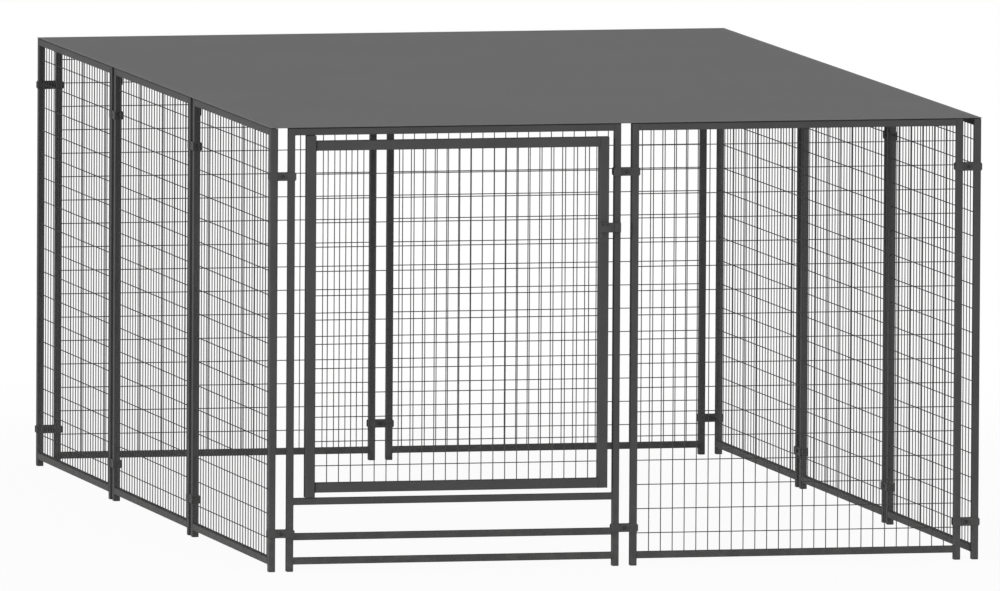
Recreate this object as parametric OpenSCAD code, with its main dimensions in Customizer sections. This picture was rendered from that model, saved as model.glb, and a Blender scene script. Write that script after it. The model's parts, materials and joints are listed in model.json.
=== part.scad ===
// Outdoor dog kennel run: framed welded-wire panels clamped post to post, a hung gate and a flat fabric roof.
// Millimetres. Origin on the ground at the middle of the run, +X to the right of the gate side, +Z up.
// The gate side faces -Y.

/* [Run] */
// Width of a front or back panel over its posts
front_panel_w = 1400; // [1200:10:1700]
// Width of a side panel over its posts
side_panel_w = 1468; // [1200:4:1700]
// Height of the panels, feet and top plugs included
panel_h = 1824; // [1750:2:2100]
// Clear gap between the facing posts of two joined panels
post_gap = 48; // [42:1:60]

/* [Frame tube] */
// Side of the square frame tube
tube = 28; // [24:1:33]
// Wall of the frame tube
tube_wall = 1.5; // [1.2:0.1:2.5]
// Outer corner radius of the frame tube
tube_r = 3; // [2:0.25:4]
// Height of the bottom rail's underside above the ground
rail_lift = 30; // [20:1:60]

/* [Post ends] */
// Height of the foot cap's head, below the post
foot_cap_t = 8; // [6:0.5:14]
// Rounding of the foot cap's lower edge
foot_round = 4; // [2:0.5:5]
// Thickness of the top plug's head
top_cap_t = 3; // [2:0.5:6]
// Length of a plug inside its tube
plug_len = 20; // [12:1:30]
// Play between a plug and the tube around it
plug_play = 0.15; // [0.05:0.05:0.3]

/* [Wire] */
// Diameter of the infill wire
wire_d = 4; // [2.5:0.1:4.5]
// Spacing of the upright wires
cell_w = 50; // [40:1:75]
// Spacing of the cross wires
cell_h = 100; // [75:1:150]
// Distance of the first upright wire from the left post, seen from outside
first_wire = 52; // [30:1:70]
// Height of the first cross wire above the bottom rail
first_row = 76; // [40:1:100]
// Height of the first cross wire above the gate's bottom rail
gate_first_row = 69; // [40:1:100]
// Least space left between the last wire and the frame
wire_margin = 20; // [15:1:30]
// Gap between the two layers of wire at a weld
weld_gap = 0.1; // [0.05:0.05:0.3]

/* [Gate] */
// Side of the square gate tube
gate_tube = 40; // [34:1:46]
// Wall of the gate tube
gate_wall = 1.5; // [1.2:0.1:2.5]
// Outer corner radius of the gate tube
gate_r = 4; // [2:0.25:5]
// Gap between the hinge-side post and the hinge stile
hinge_side_gap = 48.5; // [35:0.5:70]
// Gap between the latch stile and the latch-side post
latch_side_gap = 23; // [18:0.5:32]
// Height of the middle lower rail's underside above the ground
mid_rail_z = 130; // [110:1:170]
// Height of the sill's underside above the ground
sill_z = 275; // [230:1:330]
// Gap between the sill and the gate's bottom rail
gate_bottom_gap = 22; // [12:1:40]
// Gap between the gate's top rail and the panel's top rail
gate_top_gap = 24; // [12:1:40]
// Thickness of the head of a gate tube's end cap
gate_cap_t = 3; // [2:0.5:6]

/* [Hinge] */
// Diameter of the hinge pins
pin_d = 12; // [10:0.5:14]
// Radial play of a pin in its bush
pin_play = 0.05; // [0.02:0.01:0.1]
// Length of a pin inside its end cap
pin_seat = 18; // [12:1:22]
// Reach of a pin into the rail
pin_reach = 12; // [9:0.5:16]
// Wall of the bushes
bush_wall = 3; // [2:0.25:4]
// Length of a bush below its flange
bush_len = 14; // [12:0.5:18]
// Thickness of a bush's flange
bush_flange_t = 2; // [1.5:0.25:4]
// How far a bush's flange stands out past its sleeve
bush_flange_lip = 4; // [2:0.25:5]
// Gap between the hinge stile's end and the bush's flange
hinge_end_play = 0.3; // [0.2:0.05:0.6]
// Play between a bush and the hole in the rail
bush_play = 0.1; // [0.05:0.05:0.2]

/* [Latch] */
// Height of the latch's middle above the ground
latch_z = 1399; // [1000:1:1500]
// Height of the latch's housing and keeper
latch_h = 40; // [36:1:50]
// Depth of the housing in front of the gate
latch_depth = 14; // [13:0.5:18]
// Diameter of the sliding bolt
bolt_d = 10; // [8:0.5:11.5]
// Travel of the bolt
bolt_travel = 26; // [15:1:30]
// Radial play of the bolt in its housing
bolt_play = 0.3; // [0.2:0.05:0.4]
// Distance of the bolt's ends from the housing's ends
bolt_inset = 1; // [0.5:0.25:2]
// Diameter of the bolt's bent handle
handle_d = 5; // [4:0.25:6]
// Length of the handle below the housing
handle_drop = 18; // [14:1:26]
// Wall of the grip on the handle
grip_wall = 3; // [2:0.25:4]
// Gap between the grip and the housing
grip_gap = 2; // [1:0.25:4]
// Plate of the keeper
keeper_t = 2.5; // [1.5:0.25:3]
// Width of the keeper
keeper_w = 25.4; // [20:0.2:29.4]
// How far the keeper reaches past the post towards the gate
keeper_edge = 1.4; // [0.5:0.1:3]
// Gap between the housing and the keeper
latch_slit = 0.6; // [0.5:0.1:1.5]
// Space between the bolt and the keeper's front plate
keeper_play = 1.5; // [1:0.25:3]
// Diameter of the housing's screws
latch_screw_d = 4; // [3:0.25:4.75]
// Thickness of the gate stop strip
stop_t = 4; // [3:0.25:5]
// Height of the gate stop strip
stop_h = 28; // [20:1:34]
// How far the gate stop reaches behind the latch stile
stop_lap = 15; // [8:1:25]
// Gap between the shut gate and its stop
stop_gap = 0.3; // [0.2:0.05:0.6]

/* [Clamps] */
// Height of a clamp
clamp_h = 34; // [28:1:40]
// Plate thickness of a clamp
clamp_t = 4; // [3:0.25:4.75]
// Reach of a clamp's lips down the sides of the posts
clamp_lip = 7; // [4:0.25:8.5]
// How far the bridge between the posts is sunk
clamp_sink = 6; // [4.5:0.25:7]
// Cut-off at the corners of a clamp's plate
clamp_chamfer = 5; // [2:0.5:7]
// Height of the lower clamps' middle above the ground
clamp_low_z = 157; // [150:1:240]
// Distance of the upper clamps' middle below the panels' top
clamp_drop = 197; // [150:1:260]
// Play between a clamp and what it is cut round
clamp_play = 0.3; // [0.2:0.05:0.5]
// Diameter of the clamp bolts
clamp_bolt_d = 8; // [6:0.5:9.5]
// Diameter of the clamp bolts' heads
clamp_head_d = 16; // [15:0.5:20]
// Height of the clamp bolts' heads
clamp_head_h = 4.5; // [3:0.25:6]
// Size of the clamp nuts across their flats
clamp_nut_w = 13; // [12:0.5:16]
// Thickness of the clamp nuts
clamp_nut_t = 6.5; // [5:0.5:8]
// Thickness of the clamp washers
clamp_washer_t = 1.6; // [1:0.1:2.5]
// Length of a clamp bolt past its nut
clamp_bolt_tail = 2; // [1:0.5:5]

/* [Roof] */
// Thickness of the roof cover
cover_t = 1.5; // [1:0.25:3]
// Overhang of the roof cover past the walls
cover_over = 2; // [0:0.5:6]
// Width of the hook-and-loop tape under the cover
tape_w = 20; // [12:1:24]
// Thickness of the hook-and-loop tape
tape_t = 3; // [1:0.25:4]
// Side of the square roof bars
bar_tube = 28; // [24:1:33]
// Sheet thickness of the bar hangers
hanger_t = 3; // [2:0.25:4]
// Length of a hanger's seat under its bar
hanger_seat = 35; // [25:1:50]
// Height of a hanger's plate below its bar
hanger_drop = 40; // [30:1:60]
// Height of a hanger's cheeks beside its bar
hanger_cheek = 18; // [10:1:22]
// Play between a bar and its hanger's cheeks
hanger_play = 0.5; // [0.2:0.1:1]
// Diameter of the hanger screws
hanger_screw_d = 5; // [4:0.25:6]
// Thickness of a screw's head
screw_head_t = 3; // [2:0.25:4]
// Length of a screw past the tube wall that it is driven into
screw_tail = 8; // [5:1:10]
// Play of a screw in its holes
screw_play = 0.1; // [0.05:0.05:0.2]

/* [Hidden] */
$fn = 48;
// How far a cut runs past the face that it opens
eps = tube_wall;

// Whole run
run_w = 2 * tube + 2 * front_panel_w + 3 * post_gap;
run_d = 3 * side_panel_w + 2 * post_gap;
wall_x = (run_w - tube) / 2;
wall_y = (run_d - tube) / 2;
post_pitch = tube + post_gap;
front_step = (front_panel_w + post_gap) / 2;
side_step = side_panel_w + post_gap;
corner_x = wall_x - post_pitch / 2;
side_joint = side_step / 2;
top_rail_z = panel_h - tube;
wire_layer = (wire_d + weld_gap) / 2;

// Each panel: name, turn about Z, distance of its wall from the origin, place along the wall, width
PANELS = [
    ["front_gate", 0, wall_y, -front_step, front_panel_w],
    ["front_right", 0, wall_y, front_step, front_panel_w],
    ["back_left", 180, wall_y, front_step, front_panel_w],
    ["back_right", 180, wall_y, -front_step, front_panel_w],
    ["left_front", -90, wall_x, side_step, side_panel_w],
    ["left_middle", -90, wall_x, 0, side_panel_w],
    ["left_back", -90, wall_x, -side_step, side_panel_w],
    ["right_front", 90, wall_x, -side_step, side_panel_w],
    ["right_middle", 90, wall_x, 0, side_panel_w],
    ["right_back", 90, wall_x, side_step, side_panel_w],
];
GATE_PANEL = PANELS[0];
PLAIN_PANELS = [for (i = [1:len(PANELS) - 1]) PANELS[i]];

// Each joint of two posts: turn, wall distance, place along the wall,
// side on which a side wall's post stands (0 for none), side on which the gate panel's lower rails lie (0 for none)
SIDE_JOINTS = [for (turn = [-90, 90], side = [-1, 1]) [turn, wall_x, side * side_joint, 0, 0]];
JOINTS = concat(
    [
        [0, wall_y, 0, 0, -1],
        [0, wall_y, -corner_x, -1, 1],
        [0, wall_y, corner_x, 1, 0],
        [180, wall_y, 0, 0, 0],
        [180, wall_y, -corner_x, -1, 0],
        [180, wall_y, corner_x, 1, 0],
    ],
    SIDE_JOINTS
);
CLAMP_LEVELS = [clamp_low_z, panel_h - clamp_drop];
GATE_RAIL_LEVELS = [rail_lift, mid_rail_z, sill_z, top_rail_z];

// Gate, in its panel's own frame
panel_half = front_panel_w / 2;
hinge_x = -panel_half + tube + hinge_side_gap + gate_tube / 2;
latch_post_x = panel_half - tube;
latch_x = latch_post_x - latch_side_gap - gate_tube / 2;
gate_opening = latch_x - hinge_x - gate_tube;
gate_mid_x = (latch_x + hinge_x) / 2;
sill_top = sill_z + tube;
gate_z0 = sill_top + gate_bottom_gap;
gate_z1 = top_rail_z - gate_top_gap;
stile_z0 = sill_top + bush_flange_t + hinge_end_play;
stile_z1 = top_rail_z - bush_flange_t - hinge_end_play;
bush_d = pin_d + 2 * (pin_play + bush_wall);

// Latch, in the gate panel's own frame
housing_x0 = latch_x - gate_tube / 2;
housing_x1 = latch_post_x - keeper_edge - latch_slit;
bolt_y = -gate_tube / 2 - latch_depth / 2;
bolt_x0 = housing_x0 + bolt_inset;
bolt_len = housing_x1 - housing_x0 - 2 * bolt_inset;
handle_x = bolt_x0 + handle_d;
grip_d = handle_d + 2 * grip_wall;
latch_foot_z = latch_z - latch_h / 2;
keeper_y = bolt_y - bolt_d / 2 - keeper_play - keeper_t;
latch_screw_z = latch_z + (latch_h / 2 + bolt_d / 2) / 2;
LATCH_SCREWS = [latch_x - gate_tube / 4, latch_x + gate_tube / 4];

// Clamp section, in a joint's own frame: s along the wall, outside is -Y
clamp_a = post_gap / 2;
clamp_b = clamp_a + tube;
clamp_f = tube / 2;
bridge_out = clamp_f + clamp_t - clamp_sink;
clamp_span = clamp_b + clamp_t;

// Roof
bar_z = panel_h - bar_tube;
bar_len = 2 * (wall_x - tube / 2 - hanger_t);
cover_z = panel_h + tape_t;
hanger_screw_z = bar_z - hanger_drop / 2;

PANEL_NODES = concat(
    [for (p = PANELS, piece = ["posts", "rails"]) str(p[0], "_", piece)],
    [for (p = PLAIN_PANELS) str(p[0], "_mesh")]
);

coat = [0.29, 0.29, 0.3];
wire_coat = [0.27, 0.27, 0.28];
plastic = [0.16, 0.16, 0.17];
zinc = [0.34, 0.34, 0.35];
fabric = [0.42, 0.42, 0.43];

// Places its children in a wall's frame: X along the wall seen from outside, outside is -Y
module on_wall(turn, out, along) {
    rotate([0, 0, turn]) translate([along, -out, 0]) children();
}

module on_panel(p) {
    on_wall(p[1], p[2], p[3]) children();
}

// Every joint at every clamp level, in the clamp's own frame
module each_clamp() {
    for (j = JOINTS, z = CLAMP_LEVELS) {
        $joint = j;
        $level = z;
        on_wall(j[0], j[1], j[2]) translate([0, 0, z]) children();
    }
}

// Square with rounded corners
module rounded_square(side, r) {
    square([side, side - 2 * r], center = true);
    square([side - 2 * r, side], center = true);
    for (x = [-1, 1], y = [-1, 1]) translate([x, y] * (side / 2 - r)) circle(r);
}

// Corner radius inside a tube
function inner_r(r, wall) = max(r - wall, wall / 3);

// Upright square tube, standing on z = 0
module square_tube(length, side, wall, r) {
    linear_extrude(length) difference() {
        rounded_square(side, r);
        rounded_square(side - 2 * wall, inner_r(r, wall));
    }
}

// Square tube along X, its left end at the origin, its middle line at y = 0, its underside at z = 0
module lying_tube(length, side, wall, r) {
    translate([0, 0, side / 2]) rotate([0, 90, 0]) square_tube(length, side, wall, r);
}

// Plug of an end cap, pointing up from z = 0
module plug(side, wall, r) {
    linear_extrude(plug_len) rounded_square(side - 2 * (wall + plug_play), inner_r(r, wall));
}

// End cap that stands on z = 0: a flat head with the plug above it
module end_cap(head_t, side, wall, r) {
    linear_extrude(head_t) rounded_square(side, r);
    translate([0, 0, head_t]) plug(side, wall, r);
}

// Places its children at both posts of a panel
module at_posts(p) {
    for (s = [-1, 1]) on_panel(p) translate([s * (p[4] - tube) / 2, 0, 0]) children();
}

// Places of the hanger screws, Z pointing into the post
module at_hanger_screws() {
    for (j = SIDE_JOINTS, s = [-1, 1])
        on_wall(j[0], j[1], j[2])
            translate([s * post_pitch / 2, tube / 2 + hanger_t, hanger_screw_z])
                rotate([90, 0, 0]) children();
}

module panel_posts(p) {
    color(coat) difference() {
        at_posts(p) translate([0, 0, foot_cap_t])
            square_tube(panel_h - foot_cap_t - top_cap_t, tube, tube_wall, tube_r);
        at_hanger_screws() translate([0, 0, -eps])
            cylinder(d = hanger_screw_d + 2 * screw_play, h = hanger_t + tube_wall + 2 * eps);
    }
}

module panel_rail(p, z) {
    on_panel(p) translate([-p[4] / 2 + tube, 0, z])
        lying_tube(p[4] - 2 * tube, tube, tube_wall, tube_r);
}

module panel_rails(p) {
    color(coat) for (z = [rail_lift, top_rail_z]) panel_rail(p, z);
}

// The gate panel's rails: the sill and the top rail are drilled for the hinge bushes
module gate_panel_rails() {
    color(coat) difference() {
        for (z = GATE_RAIL_LEVELS) panel_rail(GATE_PANEL, z);
        on_panel(GATE_PANEL) for (z = [sill_top - tube_wall, top_rail_z])
            translate([hinge_x, 0, z - eps])
                cylinder(d = bush_d + 2 * bush_play, h = tube_wall + 2 * eps);
    }
}

// Places of the upright wires across an opening, from its middle
function wire_places(opening) =
    [for (i = [0:floor((opening - first_wire - wire_margin) / cell_w)]) first_wire + i * cell_w - opening / 2];

// Heights of the cross wires between two rails
function wire_rows(low, high, first) =
    [for (i = [0:floor((high - low - first - wire_margin) / cell_h)]) low + first + i * cell_h];

PANEL_ROWS = wire_rows(rail_lift + tube, top_rail_z, first_row);

// Welded wire in an opening: upright wires in the outer layer, cross wires in the inner one
module welded_wire(opening, low, high, rows) {
    for (x = wire_places(opening)) translate([x, -wire_layer, low]) cylinder(d = wire_d, h = high - low);
    for (z = rows) translate([-opening / 2, wire_layer, z]) rotate([0, 90, 0]) cylinder(d = wire_d, h = opening);
}

module panel_mesh(p) {
    color(wire_coat) on_panel(p) welded_wire(p[4] - 2 * tube, rail_lift + tube, top_rail_z, PANEL_ROWS);
}

module gate_stile(x, z0, z1) {
    color(coat) on_panel(GATE_PANEL) translate([x, 0, z0 + gate_cap_t])
        square_tube(z1 - z0 - 2 * gate_cap_t, gate_tube, gate_wall, gate_r);
}

module gate_hinge_stile() {
    gate_stile(hinge_x, stile_z0, stile_z1);
}

// Latch stile, drilled for the housing's screws
module gate_latch_stile() {
    color(coat) difference() {
        gate_stile(latch_x, gate_z0, gate_z1);
        at_latch_screws() cylinder(d = latch_screw_d + 2 * screw_play, h = latch_depth + gate_wall + eps);
    }
}

module gate_rail(z) {
    color(coat) on_panel(GATE_PANEL) translate([hinge_x + gate_tube / 2, 0, z])
        lying_tube(gate_opening, gate_tube, gate_wall, gate_r);
}

module gate_top_rail() {
    gate_rail(gate_z1 - gate_tube);
}

module gate_bottom_rail() {
    gate_rail(gate_z0);
}

module gate_mesh() {
    low = gate_z0 + gate_tube;
    high = gate_z1 - gate_tube;
    color(wire_coat) on_panel(GATE_PANEL) translate([gate_mid_x, 0, 0])
        welded_wire(gate_opening, low, high, wire_rows(low, high, gate_first_row));
}

// Both ends of a gate stile: its children stand at the lower end, and hang mirrored at the upper one
module at_stile_ends(x, z0, z1) {
    on_panel(GATE_PANEL) {
        translate([x, 0, z0]) children();
        translate([x, 0, z1]) mirror([0, 0, 1]) children();
    }
}

// Caps of the hinge stile, bored for the pins
module gate_hinge_caps() {
    color(plastic) at_stile_ends(hinge_x, stile_z0, stile_z1) difference() {
        end_cap(gate_cap_t, gate_tube, gate_wall, gate_r);
        translate([0, 0, -eps]) cylinder(d = pin_d + 2 * pin_play, h = pin_seat + eps);
    }
}

// Pins from the caps down through the bushes
module gate_hinge_pins() {
    reach = pin_reach + bush_flange_t + hinge_end_play;
    color(zinc) at_stile_ends(hinge_x, stile_z0, stile_z1)
        translate([0, 0, -reach]) cylinder(d = pin_d, h = reach + pin_seat);
}

module gate_latch_stile_caps() {
    color(plastic) at_stile_ends(latch_x, gate_z0, gate_z1) end_cap(gate_cap_t, gate_tube, gate_wall, gate_r);
}

// Flanged bushes in the sill and the top rail
module gate_hinge_bushes() {
    color(plastic) at_stile_ends(hinge_x, sill_top, top_rail_z) difference() {
        union() {
            translate([0, 0, -bush_len]) cylinder(d = bush_d, h = bush_len);
            cylinder(d = bush_d + 2 * bush_flange_lip, h = bush_flange_t);
        }
        translate([0, 0, -bush_len - eps])
            cylinder(d = pin_d + 2 * pin_play, h = bush_len + bush_flange_t + 2 * eps);
    }
}

// Joggled strip on the back of the latch post: the shut gate rests against it
module gate_stop() {
    foot_y = tube / 2;
    tongue_y = gate_tube / 2 + stop_gap;
    foot_x1 = panel_half - tube_r;
    bend = tongue_y - foot_y;
    tip_x = latch_x + gate_tube / 2 - stop_lap;
    color(coat) on_panel(GATE_PANEL) translate([0, 0, latch_z - stop_h / 2]) linear_extrude(stop_h)
        polygon([
            [tip_x, tongue_y],
            [latch_post_x + tube_r - bend, tongue_y],
            [latch_post_x + tube_r, foot_y],
            [foot_x1, foot_y],
            [foot_x1, foot_y + stop_t],
            [latch_post_x + tube_r + stop_t / 2, foot_y + stop_t],
            [latch_post_x + tube_r + stop_t / 2 - bend, tongue_y + stop_t],
            [tip_x, tongue_y + stop_t],
        ]);
}

// Places of the latch screws on the housing's front, Z pointing into the gate
module at_latch_screws() {
    on_panel(GATE_PANEL) for (x = LATCH_SCREWS)
        translate([x, -gate_tube / 2 - latch_depth, latch_screw_z]) rotate([-90, 0, 0]) children();
}

// Block on the latch stile's front, bored for the bolt and slotted below for its handle
module latch_housing() {
    slot_w = handle_d + 2 * bolt_play;
    slot_len = bolt_travel + slot_w;
    color(coat) difference() {
        on_panel(GATE_PANEL) difference() {
            translate([housing_x0, -gate_tube / 2 - latch_depth, latch_foot_z])
                cube([housing_x1 - housing_x0, latch_depth, latch_h]);
            translate([housing_x0 - eps, bolt_y, latch_z]) rotate([0, 90, 0])
                cylinder(d = bolt_d + 2 * bolt_play, h = housing_x1 - housing_x0 + 2 * eps);
            translate([handle_x - slot_w / 2, bolt_y - slot_w / 2, latch_foot_z - eps])
                cube([slot_len, slot_w, latch_h / 2 + eps]);
        }
        at_latch_screws() translate([0, 0, -eps])
            cylinder(d = latch_screw_d + 2 * screw_play, h = latch_depth + 2 * eps);
    }
}

// Round bolt with its handle bent straight down
module latch_bolt() {
    color(zinc) on_panel(GATE_PANEL) {
        translate([bolt_x0, bolt_y, latch_z]) rotate([0, 90, 0]) cylinder(d = bolt_d, h = bolt_len);
        translate([handle_x, bolt_y, latch_foot_z - handle_drop])
            cylinder(d = handle_d, h = handle_drop + latch_h / 2);
    }
}

// Sleeve with a round end on the handle
module latch_grip() {
    grip_len = handle_drop - grip_gap;
    color(plastic) on_panel(GATE_PANEL) translate([handle_x, bolt_y, latch_foot_z - handle_drop]) difference() {
        union() {
            cylinder(d = grip_d, h = grip_len);
            intersection() {
                sphere(d = grip_d);
                translate([0, 0, -grip_d]) cylinder(d = 2 * grip_d, h = grip_d);
            }
        }
        cylinder(d = handle_d + 2 * plug_play, h = grip_len + eps);
    }
}

// Channel welded to the front of the latch post, open towards the bolt
module latch_keeper() {
    color(coat) on_panel(GATE_PANEL)
        translate([latch_post_x - keeper_edge, keeper_y, latch_foot_z]) difference() {
            cube([keeper_w, -tube / 2 - keeper_y, latch_h]);
            translate([-eps, keeper_t, keeper_t])
                cube([keeper_w + 2 * eps, -tube / 2 - keeper_y, latch_h - 2 * keeper_t]);
        }
}

// Pan-head screw, its head's underside at z = 0 and its shank along +Z
module pan_screw(d, length) {
    cylinder(d = d, h = length);
    translate([0, 0, -screw_head_t]) cylinder(d = 2 * d, h = screw_head_t);
}

module latch_screws() {
    color(zinc) at_latch_screws() pan_screw(latch_screw_d, latch_depth + gate_wall + screw_tail);
}

// Plan section of a clamp's outer half
module clamp_section() {
    in = clamp_a - clamp_play;
    side = [
        [clamp_b, clamp_lip - clamp_f],
        [clamp_span, clamp_lip - clamp_f],
        [clamp_span, -clamp_f - clamp_t],
        [clamp_a, -clamp_f - clamp_t],
        [in - clamp_t, -bridge_out],
    ];
    inside = [[in, clamp_sink - clamp_f], [in, -clamp_f], [clamp_b, -clamp_f]];
    polygon(concat(
        side,
        [for (i = [len(side) - 1:-1:0]) [-side[i][0], side[i][1]]],
        [for (i = [len(inside) - 1:-1:0]) [-inside[i][0], inside[i][1]]],
        inside
    ));
}

// Front outline of a clamp's plate, its corners cut off
module clamp_outline() {
    x = clamp_span;
    z = clamp_h / 2;
    c = clamp_chamfer;
    polygon([[x, c - z], [x, z - c], [x - c, z], [c - x, z], [-x, z - c], [-x, c - z], [c - x, -z], [x - c, -z]]);
}

// Outer half of a clamp before it is drilled
module clamp_plate() {
    intersection() {
        translate([0, 0, -clamp_h / 2]) linear_extrude(clamp_h) clamp_section();
        translate([0, tube, 0]) rotate([90, 0, 0]) linear_extrude(2 * tube) clamp_outline();
    }
}

// Room for the lower rails of the gate panel, which meet the post beside a clamp's lip
module rail_room() {
    room = tube + 2 * clamp_play;
    for (z = GATE_RAIL_LEVELS)
        if ($joint[4] != 0 && abs(z + tube / 2 - $level) < (clamp_h + tube) / 2)
            translate([$joint[4] * (clamp_b + tube / 2), 0, z + tube / 2 - $level])
                cube([tube + eps, room, room], center = true);
}

// Slots, open upwards, for the cross wires of a side wall behind a corner clamp
module wire_room() {
    slot = wire_d + 4 * clamp_play;
    for (z = PANEL_ROWS)
        if ($joint[3] != 0 && abs(z - $level) < (clamp_h + slot) / 2)
            translate([$joint[3] * (post_pitch / 2 - wire_layer) - slot / 2, clamp_f - eps, z - $level - slot / 2])
                cube([slot, clamp_t + 2 * eps, clamp_h]);
}

module clamp_outer_halves() {
    neck = clamp_bolt_d + 2 * clamp_play;
    color(coat) each_clamp() difference() {
        clamp_plate();
        translate([0, -clamp_f, 0]) cube([neck, 2 * clamp_f, neck], center = true);
        rail_room();
    }
}

module clamp_inner_halves() {
    color(coat) each_clamp() difference() {
        mirror([0, 1, 0]) clamp_plate();
        rotate([-90, 0, 0]) cylinder(d = clamp_bolt_d + 2 * clamp_play, h = 2 * clamp_f);
        rail_room();
        wire_room();
    }
}

// Carriage bolt through both halves, its domed head outside
module clamp_bolts() {
    dome_r = (clamp_head_d * clamp_head_d / 4 + clamp_head_h * clamp_head_h) / (2 * clamp_head_h);
    shank = 2 * bridge_out + clamp_washer_t + clamp_nut_t + clamp_bolt_tail;
    color(zinc) each_clamp() translate([0, -bridge_out, 0]) rotate([-90, 0, 0]) {
        mirror([0, 0, 1]) rotate_extrude() intersection() {
            translate([0, clamp_head_h - dome_r]) circle(dome_r);
            square([clamp_head_d / 2, clamp_head_h]);
        }
        translate([0, 0, clamp_t / 2]) cube([clamp_bolt_d, clamp_bolt_d, clamp_t], center = true);
        cylinder(d = clamp_bolt_d, h = shank);
    }
}

// Children on the clamp bolt behind the inner half, Z pointing inwards
module behind_clamp(gap) {
    each_clamp() translate([0, bridge_out + gap, 0]) rotate([-90, 0, 0]) children();
}

module clamp_washers() {
    color(zinc) behind_clamp(0) difference() {
        cylinder(d = clamp_head_d, h = clamp_washer_t);
        translate([0, 0, -eps]) cylinder(d = clamp_bolt_d + 2 * clamp_play, h = clamp_washer_t + 2 * eps);
    }
}

module clamp_nuts() {
    color(zinc) behind_clamp(clamp_washer_t) difference() {
        cylinder(d = clamp_nut_w / cos(30), h = clamp_nut_t, $fn = 6);
        translate([0, 0, -eps]) cylinder(d = clamp_bolt_d + 2 * screw_play, h = clamp_nut_t + 2 * eps);
    }
}

// Side view of a foot cap's head, its lower corners rounded
module foot_side() {
    x = tube / 2;
    r = foot_round;
    translate([-x, r]) square([tube, foot_cap_t - r]);
    translate([r - x, 0]) square([tube - 2 * r, foot_cap_t]);
    for (s = [-1, 1]) translate([s * (x - r), r]) circle(r);
}

module foot_caps() {
    color(plastic) for (p = PANELS) at_posts(p) {
        intersection() {
            linear_extrude(foot_cap_t) rounded_square(tube, tube_r);
            rotate([90, 0, 0]) linear_extrude(2 * tube, center = true) foot_side();
            rotate([90, 0, 90]) linear_extrude(2 * tube, center = true) foot_side();
        }
        translate([0, 0, foot_cap_t]) plug(tube, tube_wall, tube_r);
    }
}

module post_top_caps() {
    color(plastic) for (p = PANELS) at_posts(p) translate([0, 0, panel_h]) mirror([0, 0, 1])
        end_cap(top_cap_t, tube, tube_wall, tube_r);
}

// Flat cover stretched over the walls
module roof_cover() {
    w = run_w + 2 * cover_over;
    d = run_d + 2 * cover_over;
    color(fabric) translate([-w / 2, -d / 2, cover_z]) cube([w, d, cover_t]);
}

// Bars across the run at the joints of the side panels
module roof_bars() {
    color(coat) for (y = [-side_joint, side_joint]) translate([-bar_len / 2, y, bar_z])
        lying_tube(bar_len, bar_tube, tube_wall, tube_r);
}

// Sheet-metal seat for a bar's end, screwed to the two posts of a side joint
module roof_bar_hangers() {
    inside = tube / 2;
    cheek_x = bar_tube / 2 + hanger_play;
    color(coat) difference() {
        for (j = SIDE_JOINTS) on_wall(j[0], j[1], j[2]) {
            translate([-clamp_b, inside, bar_z - hanger_drop])
                cube([2 * clamp_b, hanger_t, hanger_drop + bar_tube - top_cap_t]);
            translate([-cheek_x - hanger_t, inside, bar_z - hanger_t])
                cube([2 * (cheek_x + hanger_t), hanger_t + hanger_seat, hanger_t]);
            for (s = [-1, 1]) translate([s * (cheek_x + hanger_t / 2) - hanger_t / 2, inside, bar_z - hanger_t])
                cube([hanger_t, hanger_t + hanger_seat, hanger_t + hanger_cheek]);
        }
        at_hanger_screws() translate([0, 0, -eps])
            cylinder(d = hanger_screw_d + 2 * screw_play, h = hanger_t + 2 * eps);
    }
}

module roof_bar_screws() {
    color(zinc) at_hanger_screws() pan_screw(hanger_screw_d, hanger_t + tube_wall + screw_tail);
}

// Hook-and-loop tape on top of every panel and bar
module cover_tapes() {
    color(plastic) {
        for (p = PANELS) on_panel(p) translate([-p[4] / 2, -tape_w / 2, panel_h]) cube([p[4], tape_w, tape_t]);
        for (y = [-side_joint, side_joint]) translate([-bar_len / 2, y - tape_w / 2, panel_h])
            cube([bar_len, tape_w, tape_t]);
    }
}

for (p = PANELS) panel_posts(p);
for (p = PLAIN_PANELS) panel_rails(p);
for (p = PLAIN_PANELS) panel_mesh(p);
gate_panel_rails();  // front_gate_rails
gate_hinge_stile();
gate_latch_stile();
gate_top_rail();
gate_bottom_rail();
gate_mesh();
gate_hinge_caps();
gate_hinge_pins();
gate_latch_stile_caps();
gate_hinge_bushes();
gate_stop();
latch_housing();
latch_bolt();
latch_grip();
latch_keeper();
latch_screws();
clamp_outer_halves();
clamp_inner_halves();
clamp_bolts();
clamp_washers();
clamp_nuts();
foot_caps();
post_top_caps();
roof_cover();
roof_bars();
roof_bar_hangers();
roof_bar_screws();
cover_tapes();
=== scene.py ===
"""Looks of the outdoor dog kennel run.

Models the wire infills, weld beads, clamp bolts, latch, screws and roof cover, and gives every piece
its finish. The floor, the light and the camera come last.
"""

import json
import math

import bpy
from mathutils import Matrix, Vector


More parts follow.
